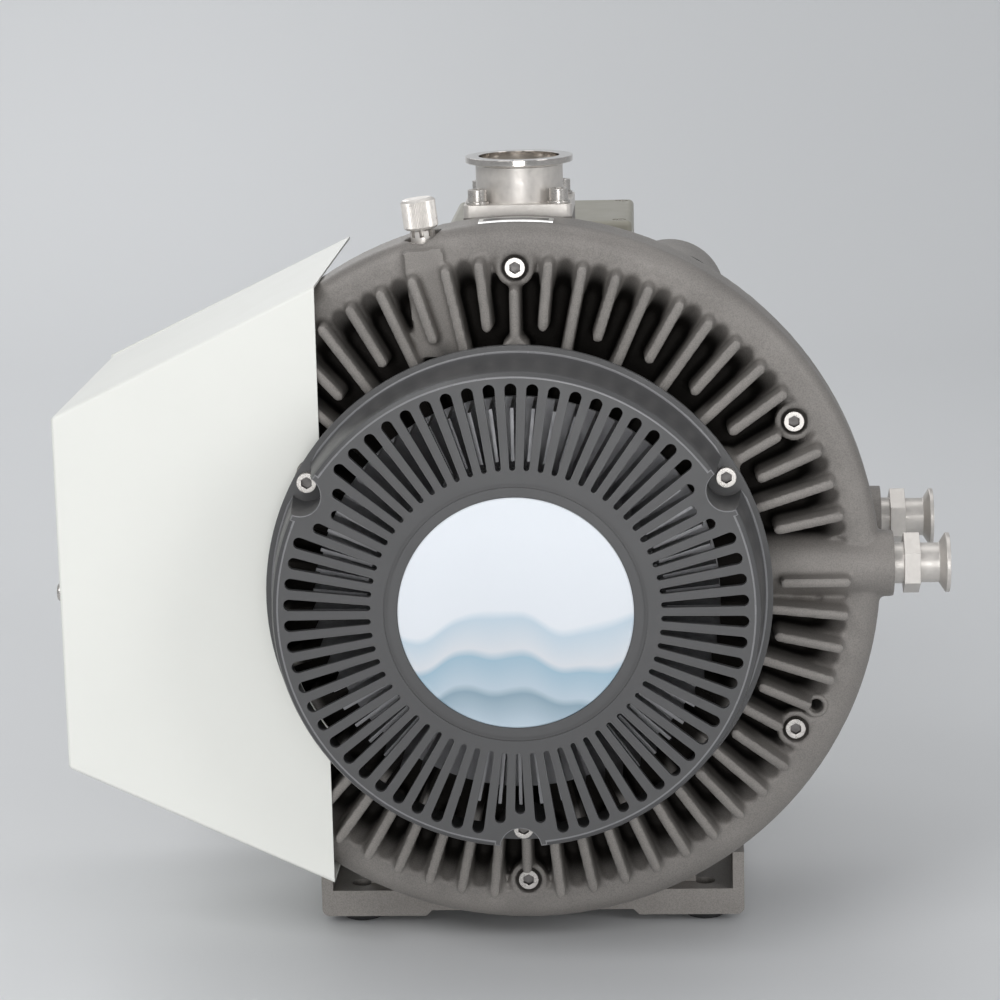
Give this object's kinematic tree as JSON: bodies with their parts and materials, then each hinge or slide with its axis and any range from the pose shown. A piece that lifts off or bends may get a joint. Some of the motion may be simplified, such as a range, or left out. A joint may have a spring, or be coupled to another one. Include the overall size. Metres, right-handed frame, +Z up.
{
  "type": "dry scroll vacuum pump",
  "caption": "Motor-driven dry scroll vacuum pump: finned round casing, slotted fan cover, quick-clamp inlet and exhausts, sheet side cover, on a base with rubber feet.",
  "frame": {"origin": "centre of the four base bolt holes, on the floor plane", "axes": "+Z up; +X towards the two exhaust fittings; -Y towards the fan cover at the front, with the shaft along Y"},
  "size_m": [0.4485, 0.4924, 0.4003],
  "materials": {
    "cast_alloy": "grey sand-cast surface",
    "machined_alloy": "machined",
    "cover_paint": "dark grey, fine satin",
    "white_paint": "off-white powder coat",
    "motor_paint": "greenish grey satin paint",
    "disc_plastic": "glossy, pale blue and white",
    "stainless": "turned stainless steel",
    "fastener_steel": "bright screws",
    "shaft_steel": "ground steel",
    "weight_iron": "as cast",
    "core_steel": "varnished laminations",
    "seal_plastic": "filled polymer",
    "black_plastic": "moulded",
    "rubber_black": "matt"
  },
  "bodies": {
    "pump": {"front_fixed_scroll": "cast_alloy", "rear_fixed_scroll": "cast_alloy", "casing_pads": "cast_alloy", "base": "cast_alloy", "nameplate": "machined_alloy", "fan_cover": "cover_paint", "side_cover": "white_paint", "motor_adapter": "motor_paint", "motor_front_shield": "motor_paint", "motor_rear_shield": "motor_paint", "motor_frame": "motor_paint", "motor_foot": "motor_paint", "fan_cowl": "motor_paint", "terminal_box": "motor_paint", "terminal_lid": "motor_paint", "centre_disc": "disc_plastic", "inlet_flange": "stainless", "inlet_strainer": "stainless", "front_exhaust_fitting": "stainless", "rear_exhaust_fitting": "stainless", "ballast_body": "stainless", "casing_screws": "fastener_steel", "saddle_screws": "fastener_steel", "fan_cover_screws": "fastener_steel", "inlet_screws": "fastener_steel", "inlet_washers": "fastener_steel", "side_cover_screws": "fastener_steel", "adapter_screws": "fastener_steel", "foot_screws": "fastener_steel", "lid_screws": "fastener_steel", "main_bearings": "shaft_steel", "pin_crank_bearings": "shaft_steel", "motor_bearings": "shaft_steel", "side_bracket": "shaft_steel", "motor_stator": "core_steel", "fixed_tip_seals": "seal_plastic", "terminal_block": "black_plastic", "cable_gland": "black_plastic", "rubber_feet": "rubber_black", "casing_gasket": "rubber_black", "shaft_seals": "rubber_black", "inlet_o_ring": "rubber_black"},
    "shaft": {"crankshaft": "shaft_steel", "front_fan": "machined_alloy", "fan_nut": "fastener_steel", "front_counterweight": "weight_iron", "rear_counterweight": "weight_iron", "coupling_hubs": "shaft_steel", "coupling_spider": "seal_plastic", "motor_shaft": "shaft_steel", "motor_rotor": "core_steel", "motor_fan": "black_plastic"},
    "orbiter": {"orbiting_scroll": "machined_alloy", "orbit_bearings": "shaft_steel", "orbit_tip_seals": "seal_plastic"},
    "pin_crank_body_1": {"pin_crank_1": "shaft_steel"},
    "pin_crank_body_2": {"pin_crank_2": "shaft_steel"},
    "pin_crank_body_3": {"pin_crank_3": "shaft_steel"},
    "ballast_knob_body": {"ballast_knob": "stainless"},
    "ballast_plug_body": {"ballast_plug": "stainless"}
  },
  "joints": [
    {"name": "shaft_spin", "type": "hinge", "parent": "pump", "child": "shaft", "pos_m": [0, -0.167, 0.194], "axis": [0, 1, 0], "continuous": true},
    {"name": "orbit", "type": "hinge", "parent": "shaft", "child": "orbiter", "pos_m": [0.0085, -0.107, 0.194], "axis": [0, 1, 0], "continuous": true},
    {"name": "pin_crank_1_spin", "type": "hinge", "parent": "pump", "child": "pin_crank_body_1", "pos_m": [0.07575, -0.081, 0.3252], "axis": [0, 1, 0], "continuous": true},
    {"name": "pin_crank_2_spin", "type": "hinge", "parent": "pump", "child": "pin_crank_body_2", "pos_m": [-0.1515, -0.081, 0.194], "axis": [0, 1, 0], "continuous": true},
    {"name": "pin_crank_3_spin", "type": "hinge", "parent": "pump", "child": "pin_crank_body_3", "pos_m": [0.07575, -0.081, 0.0628], "axis": [0, 1, 0], "continuous": true},
    {"name": "ballast_turn", "type": "hinge", "parent": "pump", "child": "ballast_knob_body", "pos_m": [-0.047, -0.155, 0.378], "axis": [-0.1132, 0, 0.9936], "range_deg": [0, 360]},
    {"name": "ballast_lift", "type": "slide", "parent": "pump", "child": "ballast_plug_body", "axis": [-0.1132, 0, 0.9936], "range_m": [0, 0.00125]}
  ],
  "couplings": [
    {"joint": "orbit", "follows": "shaft_spin", "ratio": -1},
    {"joint": "pin_crank_1_spin", "follows": "shaft_spin", "ratio": 1},
    {"joint": "pin_crank_2_spin", "follows": "shaft_spin", "ratio": 1},
    {"joint": "pin_crank_3_spin", "follows": "shaft_spin", "ratio": 1},
    {"joint": "ballast_lift", "follows": "ballast_turn", "m_per_rad": 0.0001989}
  ]
}
